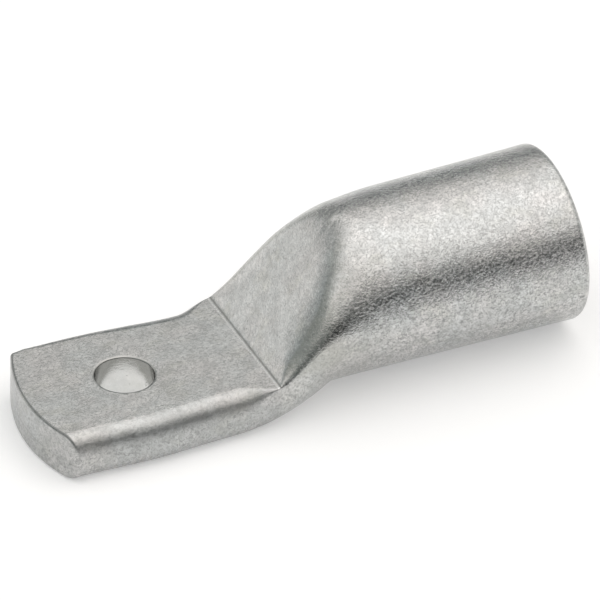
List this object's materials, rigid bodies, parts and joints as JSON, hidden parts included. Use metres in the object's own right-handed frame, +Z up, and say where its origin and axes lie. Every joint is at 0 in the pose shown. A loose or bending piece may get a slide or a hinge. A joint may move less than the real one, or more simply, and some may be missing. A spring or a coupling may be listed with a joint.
{
  "type": "tubular cable lug",
  "caption": "Tin-plated copper tube with a round barrel for a stranded conductor, pressed through a sloped transition into a flat palm with a stud hole.",
  "frame": {"origin": "on the resting plane, under the middle of the lug's length and width", "axes": "+X from the palm's tip to the barrel's mouth, +Y across the lug, +Z up from the palm's underside"},
  "size_m": [0.0814, 0.0254, 0.0255],
  "materials": {
    "tin_plate": "satin tin plate over copper, finely pitted"
  },
  "bodies": {
    "root": {"cable_lug": "tin_plate"}
  },
  "joints": []
}
